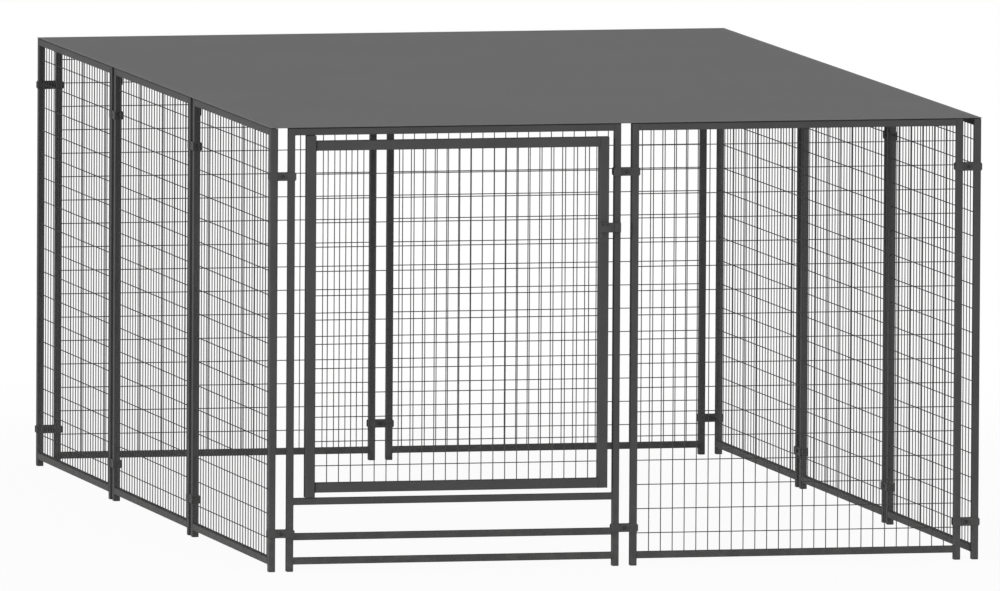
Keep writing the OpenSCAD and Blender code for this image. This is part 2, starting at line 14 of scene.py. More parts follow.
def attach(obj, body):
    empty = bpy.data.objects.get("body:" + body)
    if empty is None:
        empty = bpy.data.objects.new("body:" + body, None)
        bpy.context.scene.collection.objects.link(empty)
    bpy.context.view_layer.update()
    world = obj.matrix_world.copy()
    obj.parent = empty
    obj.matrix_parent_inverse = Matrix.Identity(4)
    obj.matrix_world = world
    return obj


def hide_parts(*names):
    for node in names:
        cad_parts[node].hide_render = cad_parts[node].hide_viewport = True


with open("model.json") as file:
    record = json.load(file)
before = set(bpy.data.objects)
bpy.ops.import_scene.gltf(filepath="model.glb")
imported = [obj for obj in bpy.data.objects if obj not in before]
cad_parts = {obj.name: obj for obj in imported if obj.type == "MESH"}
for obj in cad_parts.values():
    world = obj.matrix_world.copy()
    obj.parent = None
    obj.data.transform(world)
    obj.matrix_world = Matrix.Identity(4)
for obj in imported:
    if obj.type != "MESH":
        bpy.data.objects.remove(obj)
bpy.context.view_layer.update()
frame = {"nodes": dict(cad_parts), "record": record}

# Sizes of the solids, in metres

TUBE = 0.028
TUBE_ROUND = 0.003
FRONT_PANEL = 1.4
SIDE_PANEL = 1.468
PANEL_TOP = 1.824
POST_GAP = 0.048
POST_OFF = (TUBE + POST_GAP) / 2
RAIL_LIFT = 0.03
TOP_RAIL = PANEL_TOP - TUBE
WALL_X = 1.486
WALL_Y = 2.236
FRONT_STEP = (FRONT_PANEL + POST_GAP) / 2
SIDE_STEP = SIDE_PANEL + POST_GAP
SIDE_JOINT = SIDE_STEP / 2
CORNER_X = WALL_X - POST_OFF

WIRE_R = 0.002
WIRE_LAYER = 0.00205
CELL_W = 0.05
CELL_H = 0.1
FIRST_WIRE = 0.052
FIRST_ROW = 0.076
WIRE_MARGIN = 0.02

GATE_TUBE = 0.04
GATE_ROUND = 0.004
GATE_LEFT = -1.3075
GATE_RIGHT = -0.115
GATE_LOW = 0.325
GATE_HIGH = 1.772
GATE_FIRST_ROW = 0.069
GATE_RAILS = (0.13, 0.275)
GATE_FRONT = -WALL_Y - GATE_TUBE / 2

CLAMP_LOW = 0.157
CLAMP_DROP = 0.197
CLAMP_LEVELS = (CLAMP_LOW, PANEL_TOP - CLAMP_DROP)
CLAMP_PLATE = 0.004
BRIDGE_OUT = 0.012
BOLT_R = 0.004
BOLT_HEAD_R = 0.008
BOLT_HEAD_H = 0.0045
BOLT_TAIL = 0.002
WASHER_T = 0.0016
NUT_T = 0.0065
NUT_FLATS = 0.013

LATCH_Z = 1.399
LATCH_H = 0.04
LATCH_DEPTH = 0.014
LATCH_POST = FRONT_PANEL / 2 - FRONT_STEP - TUBE
SLIDE_R = 0.005
SLIDE_Y = GATE_FRONT - LATCH_DEPTH / 2
SLIDE_PLAY = 0.0003
SLIDE_TRAVEL = 0.026
HANDLE_R = 0.0025
HANDLE_IN = 0.006
HANDLE_X = GATE_RIGHT + HANDLE_IN
KEEPER_LAP = 0.0014
KEEPER_LEFT = LATCH_POST - KEEPER_LAP
KEEPER_W = 0.0254
KEEPER_T = 0.0025
KEEPER_ROOM = 0.0015
KEEPER_FRONT = SLIDE_Y - SLIDE_R - KEEPER_ROOM - KEEPER_T
HOUSING_GAP = 0.0006
HOUSING_RIGHT = KEEPER_LEFT - HOUSING_GAP
LATCH_SCREW_R = 0.002
LATCH_SCREW_L = 0.0235
LATCH_SCREW_IN = (0.01, 0.03)
LATCH_SCREW_X = [GATE_RIGHT + step for step in LATCH_SCREW_IN]
LATCH_SCREW_RISE = 0.0125
LATCH_SCREW_Z = LATCH_Z + LATCH_SCREW_RISE

HANGER_T = 0.003
HANGER_SCREW_R = 0.0025
HANGER_SCREW_L = 0.0125
HANGER_SCREW_Z = 1.776
SCREW_HEAD = 0.003

COVER_TOP = 1.8285
COVER_X = 1.502
COVER_Y = 2.252

# Panel: turn about Z in degrees, distance of its wall from the origin, place along the wall, width
PANELS = {
    "front_gate": (0, WALL_Y, -FRONT_STEP, FRONT_PANEL),
    "front_right": (0, WALL_Y, FRONT_STEP, FRONT_PANEL),
    "back_left": (180, WALL_Y, FRONT_STEP, FRONT_PANEL),
    "back_right": (180, WALL_Y, -FRONT_STEP, FRONT_PANEL),
    "left_front": (-90, WALL_X, SIDE_STEP, SIDE_PANEL),
    "left_middle": (-90, WALL_X, 0, SIDE_PANEL),
    "left_back": (-90, WALL_X, -SIDE_STEP, SIDE_PANEL),
    "right_front": (90, WALL_X, -SIDE_STEP, SIDE_PANEL),
    "right_middle": (90, WALL_X, 0, SIDE_PANEL),
    "right_back": (90, WALL_X, SIDE_STEP, SIDE_PANEL),
}

# Joint between two panels: turn, distance and place along the wall, as above
END_JOINTS = [(turn, WALL_Y, along) for turn in (0, 180) for along in (0, -CORNER_X, CORNER_X)]
SIDE_JOINTS = [(turn, WALL_X, along) for turn in (-90, 90) for along in (-SIDE_JOINT, SIDE_JOINT)]
JOINTS = END_JOINTS + SIDE_JOINTS

# Closer than this to an edge counts as on it
NEAR = 0.001


def on_wall(turn, out, along):
    """Matrix of a wall's own frame: X along the wall seen from outside, outside is -Y."""
    return Matrix.Rotation(math.radians(turn), 4, "Z") @ Matrix.Translation((along, -out, 0))


# Modelling steps


def pick(*objects):
    """Selects these objects alone and makes the first one active."""
    bpy.ops.object.select_all(action="DESELECT")
    for o in objects:
        o.select_set(True)
    bpy.context.view_layer.objects.active = objects[0]


def settle(o):
    """Puts an object's place, turn and scale into its mesh."""
    pick(o)
    bpy.ops.object.transform_apply(location=True, rotation=True, scale=True)
    return o


def edit(o):
    pick(o)
    bpy.ops.object.mode_set(mode="EDIT")
    bpy.ops.mesh.select_mode(type="VERT")


def done():
    bpy.ops.object.mode_set(mode="OBJECT")


def select_points(o, test):
    """In edit mode, selects the points of o that pass the test."""
    bpy.ops.mesh.select_all(action="DESELECT")
    bpy.ops.object.mode_set(mode="OBJECT")
    for v in o.data.vertices:
        v.select = test(v.co)
    bpy.ops.object.mode_set(mode="EDIT")


def modify(o, kind, **settings):
    """Adds a modifier and applies it."""
    m = o.modifiers.new(kind.lower(), kind)
    for key, value in settings.items():
        setattr(m, key, value)
    pick(o)
    bpy.ops.object.modifier_apply(modifier=m.name)


def repeat(o, count, step):
    modify(o, "ARRAY", count=count, use_relative_offset=False, use_constant_offset=True,
           constant_offset_displace=step)


def join(name, *objects):
    pick(*objects)
    bpy.ops.object.join()
    o = bpy.context.object
    o.name = name
    o.data.name = name
    return o


def remove(o):
    pick(o)
    bpy.ops.object.delete()


def cut(o, cutter):
    """Takes the cutter's shape out of o; the cutter goes."""
    modify(o, "BOOLEAN", operation="DIFFERENCE", object=cutter)
    remove(cutter)


def block(low, high):
    """Box between two corners."""
    low = Vector(low)
    high = Vector(high)
    bpy.ops.mesh.primitive_cube_add(size=1, location=(low + high) / 2)
    o = bpy.context.object
    o.scale = high - low
    return settle(o)


def bar(sides, radius, length, middle, turned=(0, 0, 0)):
    """Round or many-sided bar along Z, centred on a point, then turned about it."""
    bpy.ops.mesh.primitive_cylinder_add(vertices=sides, radius=radius, depth=length, location=middle,
                                        rotation=turned)
    return settle(bpy.context.object)


def soften(o, degrees=40):
    """Smooth shading across edges flatter than this angle."""
    pick(o)
    bpy.ops.object.shade_smooth_by_angle(angle=math.radians(degrees))


def placed_copy(o, name, matrix):
    pick(o)
    bpy.ops.object.duplicate(linked=False)
    c = bpy.context.object
    c.name = name
    c.data.name = name
    c.matrix_world = matrix
    return settle(c)


def set_of_copies(o, name, places):
    """One object with a copy of o at each place; o itself goes."""
    copies = [placed_copy(o, f"{name}_{i}", m) for i, m in enumerate(places)]
    remove(o)
    return join(name, *copies)


# Finishes

WHITE = (1, 1, 1, 1)
DUST_TOP = 0.4
DUST_FULL = 0.02
DUST_SHARE = 0.12
THREAD_PITCH = 0.0016
RIB_PITCH = 0.0014
STITCH_ROWS = (0.0045, 0.0185)
STITCH_HALF = 0.0006
STITCH_PITCH = 0.0042
STITCH_SHARE = 0.72
EDGE_SHADE_DROP = 0.0003
FLOOR_NEAR = 3.0
FLOOR_FAR = 7.0
FLOOR_GLOW = 0.94


class Value:
    """A node's output that takes part in Python arithmetic: each operator adds a Math node."""

    def __init__(self, finish, socket):
        self.finish = finish
        self.socket = socket

    def __add__(self, other):
        return self.finish.maths("ADD", self, other)

    def __radd__(self, other):
        return self.finish.maths("ADD", other, self)

    def __sub__(self, other):
        return self.finish.maths("SUBTRACT", self, other)

    def __rsub__(self, other):
        return self.finish.maths("SUBTRACT", other, self)

    def __mul__(self, other):
        return self.finish.maths("MULTIPLY", self, other)

    def __rmul__(self, other):
        return self.finish.maths("MULTIPLY", other, self)

    def __truediv__(self, other):
        return self.finish.maths("DIVIDE", self, other)

    def __mod__(self, other):
        return self.finish.maths("MODULO", self, other)

    def __pow__(self, other):
        return self.finish.maths("POWER", self, other)

    def __abs__(self):
        return self.finish.maths("ABSOLUTE", self)

    def __lt__(self, other):
        return self.finish.maths("LESS_THAN", self, other)

    def floor(self):
        return self.finish.maths("FLOOR", self)

    def sine(self):
        return self.finish.maths("SINE", self)

    def at_least(self, other):
        return self.finish.maths("MAXIMUM", self, other)

    def at_most(self, other):
        return self.finish.maths("MINIMUM", self, other)

    def ramp(self, low, high):
        """0 below low, 1 above high, smooth between."""
        return self.finish.node("ShaderNodeMapRange", {"interpolation_type": "SMOOTHSTEP"},
                                {"Value": self, "From Min": low, "From Max": high})


class Finish:
    """Node tree of a material, or of the world."""

    def __init__(self, name, made_in=bpy.data.materials):
        self.owner = made_in.new(name)
        self.owner.use_nodes = True
        self.tree = self.owner.node_tree
        self.tree.nodes.clear()

    def node(self, kind, settings=None, sockets=None, out=0):
        """Adds a node: its settings first, then its sockets' values or links."""
        n = self.tree.nodes.new(kind)
        for key, value in (settings or {}).items():
            setattr(n, key, value)
        for key, value in (sockets or {}).items():
            if isinstance(value, Value):
                self.tree.links.new(value.socket, n.inputs[key])
            else:
                n.inputs[key].default_value = value
        return Value(self, n.outputs[out])

    def maths(self, operation, *values):
        return self.node("ShaderNodeMath", {"operation": operation}, dict(enumerate(values)))

    def mix(self, share, a, b):
        """Colour from a to b."""
        return self.node("ShaderNodeMix", {"data_type": "RGBA"}, {0: share, 6: a, 7: b}, out=2)

    def place(self):
        return self.node("ShaderNodeTexCoord", out="Object")

    def axes(self, vector):
        """X, Y and Z of a vector."""
        first = self.node("ShaderNodeSeparateXYZ", None, {0: vector})
        outputs = first.socket.node.outputs
        return first, Value(self, outputs[1]), Value(self, outputs[2])

    def stretched(self, vector, scale):
        return self.node("ShaderNodeMapping", None, {"Vector": vector, "Scale": scale})

    def noise(self, vector, scale, detail, rough=0.5):
        return self.node("ShaderNodeTexNoise", None,
                         {"Vector": vector, "Scale": scale, "Detail": detail, "Roughness": rough})

    def background_seen(self):
        """1 for rays that show the background: from the camera, off gloss or through glass."""
        seen = self.node("ShaderNodeLightPath").socket.node.outputs
        rays = [Value(self, seen[name]) for name in ("Is Camera Ray", "Is Glossy Ray", "Is Transmission Ray")]
        return rays[0].at_least(rays[1]).at_least(rays[2])

    def bump(self, height, distance):
        return self.node("ShaderNodeBump", None, {"Height": height, "Distance": distance})

    def shader(self, **sockets):
        """Ends the tree in a Principled shader; underscores in a socket's name stand for blanks."""
        named = {key.replace("_", " "): value for key, value in sockets.items()}
        self.end(self.node("ShaderNodeBsdfPrincipled", None, named))
        return self.owner

    def end(self, out, kind="ShaderNodeOutputMaterial"):
        n = self.tree.nodes.new(kind)
        self.tree.links.new(out.socket, n.inputs["Surface"])


def grey(level, warm=0.0):
    """A colour near grey, level in linear light."""
    return (level * (1 + warm), level, level * (1 - warm), 1.0)


def powder_coat(name, level, peel):
    """Baked powder paint: orange peel with painted light on its bumps and painted shade in its hollows,
    uneven gloss, faint dust near the ground.
    """
    f = Finish(name)
    place = f.place()
    cloud = f.noise(place, scale=5.0, detail=4.0, rough=0.6)
    speck = f.noise(place, scale=420.0, detail=2.0)
    peel_bump_and_shade = f.noise(place, scale=peel, detail=2.0)
    patch = f.noise(place, scale=30.0, detail=4.0)
    height = f.axes(place)[2]
    dust = (1 - height.ramp(DUST_FULL, DUST_TOP)) * patch.ramp(0.35, 0.75) * DUST_SHARE
    # Lighter on the orange peel's bumps and darker in its hollows: painted light and shade; the cloud term is
    # the paint's own uneven tone
    paint = level * (0.84 + 0.12 * cloud.ramp(0.3, 0.7) + 0.2 * peel_bump_and_shade.ramp(0.35, 0.65))
    paint = f.mix(speck.ramp(0.55, 0.75) * 0.18, paint, grey(level * 1.35))
    paint = f.mix(dust, paint, grey(0.2, warm=0.06))
    rough = 0.66 + 0.14 * cloud + 0.08 * speck + dust
    return f.shader(Base_Color=paint, Roughness=rough, Normal=f.bump(peel_bump_and_shade, distance=0.0001),
                    Specular_IOR_Level=0.05)


def moulded_plastic(name, level):
    """Black-grey nylon with a fine grain."""
    f = Finish(name)
    place = f.place()
    grain = f.noise(place, scale=1500.0, detail=2.0)
    cloud = f.noise(place, scale=40.0, detail=3.0)
    tone = f.mix(cloud.ramp(0.3, 0.7), grey(level * 0.9), grey(level * 1.1))
    return f.shader(Base_Color=tone, Roughness=0.6 + 0.15 * grain, Normal=f.bump(grain, distance=0.00006),
                    Specular_IOR_Level=0.1)


def dark_zinc(name, level):
    """Black zinc plate: dull metal with brighter rubbed spots."""
    f = Finish(name)
    place = f.place()
    rub = f.noise(place, scale=160.0, detail=4.0, rough=0.6).ramp(0.5, 0.75)
    fine = f.noise(place, scale=1800.0, detail=2.0)
    tone = f.mix(rub, grey(level), grey(level * 1.8))
    return f.shader(Base_Color=tone, Metallic=0.3, Roughness=0.5 + 0.16 * fine - 0.08 * rub,
                    Normal=f.bump(fine, distance=0.00003), Specular_IOR_Level=0.1)


def coated_weave(name, level):
    """Coated fabric: a plain weave under a thin coat with painted shade in the grooves between its threads,
    faint streaks along the threads.
    """
    f = Finish(name)
    place = f.place()
    x, y, _ = f.axes(place)
    warp = x / THREAD_PITCH
    weft = y / THREAD_PITCH
    over = abs((warp.floor() + weft.floor()) % 2.0)
    threads_and_groove_shade = abs((warp * math.pi).sine()) * over + abs((weft * math.pi).sine()) * (1 - over)
    streak_x = f.noise(f.stretched(place, (1.0, 90.0, 1.0)), scale=3.0, detail=3.0)
    streak_y = f.noise(f.stretched(place, (90.0, 1.0, 1.0)), scale=3.0, detail=3.0)
    cloud = f.noise(place, scale=1.1, detail=4.0, rough=0.55)
    tone = f.mix(cloud.ramp(0.3, 0.7), grey(level * 0.975), grey(level * 1.025))
    tone = f.mix((streak_x + streak_y).ramp(0.8, 1.3) * 0.3, tone, grey(level * 1.1))
    # Darker between the threads: painted shade in the weave's grooves
    tone = f.mix((1 - threads_and_groove_shade) * 0.16, tone, grey(level * 0.55))
    rough = 0.8 + 0.1 * cloud + 0.06 * threads_and_groove_shade
    return f.shader(Base_Color=tone, Roughness=rough, Normal=f.bump(threads_and_groove_shade, distance=0.00018),
                    Specular_IOR_Level=0.05)


def stitched_hem(name, level):
    """Edge binding of the cover: ribs along the edge, two rows of stitches, and a near-black turned-over edge
    and underside that are painted shade under the roof's edge.
    """
    f = Finish(name)
    place = f.place()
    x, y, z = f.axes(place)
    from_side = COVER_X - abs(x)
    from_end = COVER_Y - abs(y)
    on_side = from_side < from_end
    edge = from_side.at_most(from_end)
    along = y * on_side + x * (1 - on_side)
    ribs = abs((edge * (math.pi / RIB_PITCH)).sine())
    outer, inner = [abs(edge - row) < STITCH_HALF for row in STITCH_ROWS]
    stitch = outer.at_least(inner) * (abs(along / STITCH_PITCH % 1.0) < STITCH_SHARE)
    cloud = f.noise(place, scale=14.0, detail=3.0)
    tone = f.mix(cloud.ramp(0.3, 0.7), grey(level * 0.95), grey(level * 1.05))
    tone = f.mix(stitch, tone, grey(level * 0.5))
    # Near-black below the top face: painted shadow line under the roof's edge
    tone = f.mix(z < COVER_TOP - EDGE_SHADE_DROP, tone, grey(level * 0.08))
    return f.shader(Base_Color=tone, Roughness=0.66 + 0.1 * ribs,
                    Normal=f.bump(ribs * 0.4 + stitch, distance=0.0003), Specular_IOR_Level=0.05)


def hook_tape(name, level):
    """Hook-and-loop tape: short dense pile."""
    f = Finish(name)
    pile = f.noise(f.place(), scale=1400.0, detail=3.0)
    tone = f.mix(pile, grey(level * 0.6), grey(level * 1.4))
    return f.shader(Base_Color=tone, Roughness=0.8 + 0.15 * pile, Normal=f.bump(pile, distance=0.0006),
                    Specular_IOR_Level=0.05)


def white_floor(name):
    """Pale floor that looks white and keeps a faint shadow of the object, plain white farther out."""
    f = Finish(name)
    place = f.place()
    x, y, _ = f.axes(place)
    far = ((x * x + y * y) ** 0.5).ramp(FLOOR_NEAR, FLOOR_FAR)
    tone = f.mix(f.noise(place, scale=0.8, detail=3.0), grey(0.87), grey(0.89))
    matt = f.node("ShaderNodeBsdfPrincipled", None, {"Base Color": tone, "Roughness": 0.9})
    glow = f.node("ShaderNodeEmission", None, {"Color": WHITE, "Strength": 1.0})
    share = f.background_seen() * (FLOOR_GLOW + (1 - FLOOR_GLOW) * far)
    f.end(f.node("ShaderNodeMixShader", None, {0: share, 1: matt, 2: glow}))
    return f.owner


COAT = powder_coat("powder_coat", level=0.062, peel=900.0)
WIRE = powder_coat("wire_coat", level=0.055, peel=1600.0)
# Near-black bead at the gate's hinge stile: painted shadow of the gap between stile and rail
HINGE_GAP_SHADE = powder_coat("painted_gap_shadow", level=0.012, peel=700.0)
ZINC = dark_zinc("black_zinc", level=0.035)
CAP = moulded_plastic("cap_plastic", level=0.058)
NYLON = moulded_plastic("bush_nylon", level=0.03)
COVER = coated_weave("cover_weave", level=0.2)
HEM = stitched_hem("cover_hem", level=0.195)
TAPE = hook_tape("hook_tape", level=0.03)
FINISHES = {"frame_coat": COAT, "wire_coat": WIRE, "dark_zinc": ZINC, "cap_plastic": CAP, "bush_nylon": NYLON,
            "cover_fabric": COVER, "tape": TAPE}

for part in frame["record"]["subparts"]:
    for material_slot in frame["nodes"][part["node"]].material_slots:
        material_slot.material = FINISHES[part["material_slot"]]


def finish_piece(o, material, body, slot, *nodes):
    """Gives a piece its material, its body and the nodes that it stands for."""
    o.data.materials.clear()
    o.data.materials.append(material)
    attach(o, body)
    if nodes:
        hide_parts(*nodes)


# Wire infills

FLARE_L = 0.0022
FLARE = 1.55
CROSS_WELD = (0.0021, 0.0016, 0.0021)


def welded_rod(length):
    """Round wire from the origin up, its ends flared by the weld to the frame."""
    rod = bar(sides=10, radius=WIRE_R, length=length, middle=(0, 0, length / 2))
    edit(rod)
    for z in (FLARE_L, length - FLARE_L):
        bpy.ops.mesh.select_all(action="SELECT")
        bpy.ops.mesh.bisect(plane_co=(0, 0, z), plane_no=(0, 0, 1))
    select_points(rod, lambda p: p.z < FLARE_L / 2 or p.z > length - FLARE_L / 2)
    bpy.ops.transform.resize(value=(FLARE, FLARE, 1))
    done()
    return rod


def infill(opening, low, high, first_row):
    """Welded wire across an opening that is centred on x = 0."""
    columns = int((opening - FIRST_WIRE - WIRE_MARGIN) / CELL_W) + 1
    rows = int((high - low - first_row - WIRE_MARGIN) / CELL_H) + 1
    first_x = FIRST_WIRE - opening / 2
    first_z = low + first_row
    uprights = welded_rod(high - low)
    uprights.location = (first_x, -WIRE_LAYER, low)
    repeat(settle(uprights), columns, (CELL_W, 0, 0))
    levels = welded_rod(opening)
    levels.rotation_euler = (0, math.pi / 2, 0)
    levels.location = (-opening / 2, WIRE_LAYER, first_z)
    repeat(settle(levels), rows, (0, 0, CELL_H))
    bpy.ops.mesh.primitive_ico_sphere_add(subdivisions=1, radius=1, location=(first_x, 0, first_z))
    welds = bpy.context.object
    welds.scale = CROSS_WELD
    repeat(settle(welds), columns, (CELL_W, 0, 0))
    repeat(welds, rows, (0, 0, CELL_H))
    mesh = join("infill", uprights, levels, welds)
    soften(mesh)
    return mesh


for width in (FRONT_PANEL, SIDE_PANEL):
    master = infill(width - 2 * TUBE, RAIL_LIFT + TUBE, TOP_RAIL, FIRST_ROW)
    for panel, (turn, out, along, panel_width) in PANELS.items():
        if panel_width == width and panel != "front_gate":
            wires = placed_copy(master, f"{panel}_wires", on_wall(turn, out, along))
            finish_piece(wires, WIRE, "run_frame", "wire_coat", f"{panel}_mesh")
    remove(master)

gate_wires = infill(GATE_RIGHT - GATE_LEFT, GATE_LOW + GATE_TUBE, GATE_HIGH - GATE_TUBE, GATE_FIRST_ROW)
gate_wires.location = ((GATE_LEFT + GATE_RIGHT) / 2, -WALL_Y, 0)
gate_wires.name = "gate_wires"
settle(gate_wires)
finish_piece(gate_wires, WIRE, "gate", "wire_coat", "gate_mesh")


# Weld beads where rails meet uprights

BEAD_R = 0.0013
HINGE_GAP_SHADE_R = 0.002


def weld_bead(side, corner, radius):
    """Bead round the end of a square tube, in the plane x = 0, centred on the tube."""
    bpy.ops.mesh.primitive_plane_add(size=side)
    bead = bpy.context.object
    edit(bead)
    bpy.ops.mesh.select_all(action="SELECT")
    bpy.ops.mesh.bevel(offset=corner, segments=4, affect="VERTICES")
    bpy.ops.mesh.select_all(action="SELECT")
    bpy.ops.mesh.delete(type="ONLY_FACE")
    done()
    bpy.ops.object.convert(target="CURVE")
    bead = bpy.context.object
    bead.data.bevel_depth = radius
    bead.data.bevel_resolution = 1
    bpy.ops.object.convert(target="MESH")
    bead = bpy.context.object
    bead.rotation_euler = (0, math.pi / 2, 0)
    settle(bead)
    soften(bead, 60)
    return bead


bead_places = []
for panel, (turn, out, along, panel_width) in PANELS.items():
    levels = [RAIL_LIFT, TOP_RAIL] + (list(GATE_RAILS) if panel == "front_gate" else [])
    for level in levels:
        for end in (-1, 1):
            spot = Matrix.Translation((end * (panel_width / 2 - TUBE), 0, level + TUBE / 2))
            bead_places.append(on_wall(turn, out, along) @ spot)
panel_welds = set_of_copies(weld_bead(TUBE, TUBE_ROUND, BEAD_R), "panel_welds", bead_places)
finish_piece(panel_welds, COAT, "run_frame", "frame_coat")

# At the hinge stile the gate's rails end in wide near-black beads, a painted shadow of a gap between stile
# and rail; at the latch stile they end in beads of the frame's paint
GATE_RAIL_MIDDLES = (GATE_LOW + GATE_TUBE / 2, GATE_HIGH - GATE_TUBE / 2)
for side, x, finish, radius in (("hinge", GATE_LEFT, HINGE_GAP_SHADE, HINGE_GAP_SHADE_R), ("latch", GATE_RIGHT, COAT, BEAD_R)):
    ends = [Matrix.Translation((x, -WALL_Y, z)) for z in GATE_RAIL_MIDDLES]
    gate_welds = set_of_copies(weld_bead(GATE_TUBE, GATE_ROUND, radius), f"gate_{side}_welds", ends)
    finish_piece(gate_welds, finish, "gate", "frame_coat")


# Clamp bolts, washers and nuts

BOLT_TIP = 0.0008
WASHER_ROUND = 0.0003
WASHER_PLAY = 0.0003
NUT_CHAMFER = 0.0009
NUT_PLAY = 0.0001

# The turned blank of a nut: a little narrower than its corners, a little taller than its faces
BLANK_WIDE = 0.995
BLANK_TALL = 1.001


def drill(o, radius, height):
    """Round hole along Z through a piece that stands on z = 0."""
    cut(o, bar(sides=24, radius=radius, length=height * 3, middle=(0, 0, height / 2)))


def carriage_bolt():
    """Domed head below z = 0, square neck and shank above."""
    ball_r = (BOLT_HEAD_R ** 2 + BOLT_HEAD_H ** 2) / (2 * BOLT_HEAD_H)
    length = 2 * BRIDGE_OUT + WASHER_T + NUT_T + BOLT_TAIL
    bpy.ops.mesh.primitive_uv_sphere_add(segments=24, ring_count=24, radius=ball_r,
                                         location=(0, 0, ball_r - BOLT_HEAD_H))
    head = settle(bpy.context.object)
    edit(head)
    bpy.ops.mesh.select_all(action="SELECT")
    bpy.ops.mesh.bisect(plane_co=(0, 0, 0), plane_no=(0, 0, 1), clear_outer=True, use_fill=True)
    done()
    neck = block((-BOLT_R, -BOLT_R, 0), (BOLT_R, BOLT_R, CLAMP_PLATE))
    shank = bar(sides=16, radius=BOLT_R, length=length, middle=(0, 0, length / 2))
    edit(shank)
    select_points(shank, lambda p: p.z > length / 2)
    bpy.ops.mesh.bevel(offset=BOLT_TIP, segments=2, affect="EDGES")
    done()
    bolt = join("clamp_bolt", head, neck, shank)
    soften(bolt)
    return bolt


def washer():
    ring = bar(sides=32, radius=BOLT_HEAD_R, length=WASHER_T, middle=(0, 0, WASHER_T / 2))
    modify(ring, "BEVEL", width=WASHER_ROUND, segments=2, limit_method="ANGLE")
    drill(ring, BOLT_R + WASHER_PLAY, WASHER_T)
    soften(ring)
    return ring


def hex_nut():
    """Six-sided nut with its corners turned off at both faces."""
    corner = NUT_FLATS / 2 / math.cos(math.pi / 6)
    middle = (0, 0, NUT_T / 2)
    nut = bar(sides=6, radius=corner, length=NUT_T, middle=middle, turned=(0, 0, math.pi / 2))
    blank = bar(sides=48, radius=corner * BLANK_WIDE, length=NUT_T * BLANK_TALL, middle=middle)
    modify(blank, "BEVEL", width=NUT_CHAMFER, segments=1, limit_method="ANGLE")
    modify(nut, "BOOLEAN", operation="INTERSECT", object=blank)
    remove(blank)
    drill(nut, BOLT_R + NUT_PLAY, NUT_T)
    soften(nut)
    return nut


def at_clamps(depth):
    """Every clamp's bolt axis, Z pointing inwards, at a depth from the posts' centre plane."""
    inwards = Matrix.Rotation(-math.pi / 2, 4, "X")
    return [on_wall(*joint) @ Matrix.Translation((0, depth, level)) @ inwards
            for joint in JOINTS for level in CLAMP_LEVELS]


bolts = set_of_copies(carriage_bolt(), "carriage_bolts", at_clamps(-BRIDGE_OUT))
finish_piece(bolts, ZINC, "run_frame", "dark_zinc", "clamp_bolts")
washers = set_of_copies(washer(), "flat_washers", at_clamps(BRIDGE_OUT))
finish_piece(washers, ZINC, "run_frame", "dark_zinc", "clamp_washers")
nuts = set_of_copies(hex_nut(), "hex_nuts", at_clamps(BRIDGE_OUT + WASHER_T))
finish_piece(nuts, ZINC, "run_frame", "dark_zinc", "clamp_nuts")


# Latch and screws

LATCH_ROUND = 0.0012
SCREW_PLAY = 0.0001
THROUGH = 0.1
CUT_OVER = 0.001
STRIP_BEND = 0.003
STRIP_ROUND = 0.0003

# Shares of a screw's head height, and of its shank radius for the recess
HEAD_ROUND = 0.5
RECESS_FLOOR = 0.45
RECESS_LONG = 1.1
RECESS_WIDE = 0.22


def latch_block():
    """Cast block with rounded edges, bored for the bolt, its screws and, from below, the bolt's handle."""
    foot = LATCH_Z - LATCH_H / 2
    half_slot = HANDLE_R + SLIDE_PLAY
    case = block((GATE_RIGHT, GATE_FRONT - LATCH_DEPTH, foot), (HOUSING_RIGHT, GATE_FRONT, foot + LATCH_H))
    modify(case, "BEVEL", width=LATCH_ROUND, segments=3, limit_method="ANGLE")
    cut(case, bar(sides=32, radius=SLIDE_R + SLIDE_PLAY, length=2 * THROUGH,
                  middle=(GATE_RIGHT, SLIDE_Y, LATCH_Z), turned=(0, math.pi / 2, 0)))
    cut(case, block((HANDLE_X - half_slot, SLIDE_Y - half_slot, foot - CUT_OVER),
                    (HANDLE_X + SLIDE_TRAVEL + half_slot, SLIDE_Y + half_slot, LATCH_Z)))
    for x in LATCH_SCREW_X:
        cut(case, bar(sides=16, radius=LATCH_SCREW_R + SCREW_PLAY, length=THROUGH,
                      middle=(x, GATE_FRONT, LATCH_SCREW_Z), turned=(math.pi / 2, 0, 0)))
    case.name = "latch_block"
    soften(case)
    return case


def keeper_channel():
    """Strip bent into a channel that is open towards the post."""
    front = KEEPER_FRONT + KEEPER_T / 2
    back = -WALL_Y - TUBE / 2
    middle = (front + back) / 2
    bpy.ops.mesh.primitive_plane_add(size=1, location=(KEEPER_LEFT, middle, LATCH_Z),
                                     rotation=(0, math.pi / 2, 0))
    strip = bpy.context.object
    strip.scale = (LATCH_H - KEEPER_T, back - front, 1)
    settle(strip)
    edit(strip)
    select_points(strip, lambda p: p.y < middle)
    bpy.ops.mesh.bevel(offset=STRIP_BEND, segments=4, affect="VERTICES")
    select_points(strip, lambda p: p.y > back - NEAR)
    bpy.ops.mesh.delete(type="EDGE_FACE")
    bpy.ops.mesh.select_all(action="SELECT")
    bpy.ops.mesh.extrude_edges_move(TRANSFORM_OT_translate={"value": (KEEPER_W, 0, 0)})
    done()
    modify(strip, "SOLIDIFY", thickness=KEEPER_T, offset=0, use_even_offset=True)
    modify(strip, "BEVEL", width=STRIP_ROUND, segments=2, limit_method="ANGLE")
    strip.name = "keeper_channel"
    soften(strip)
    return strip


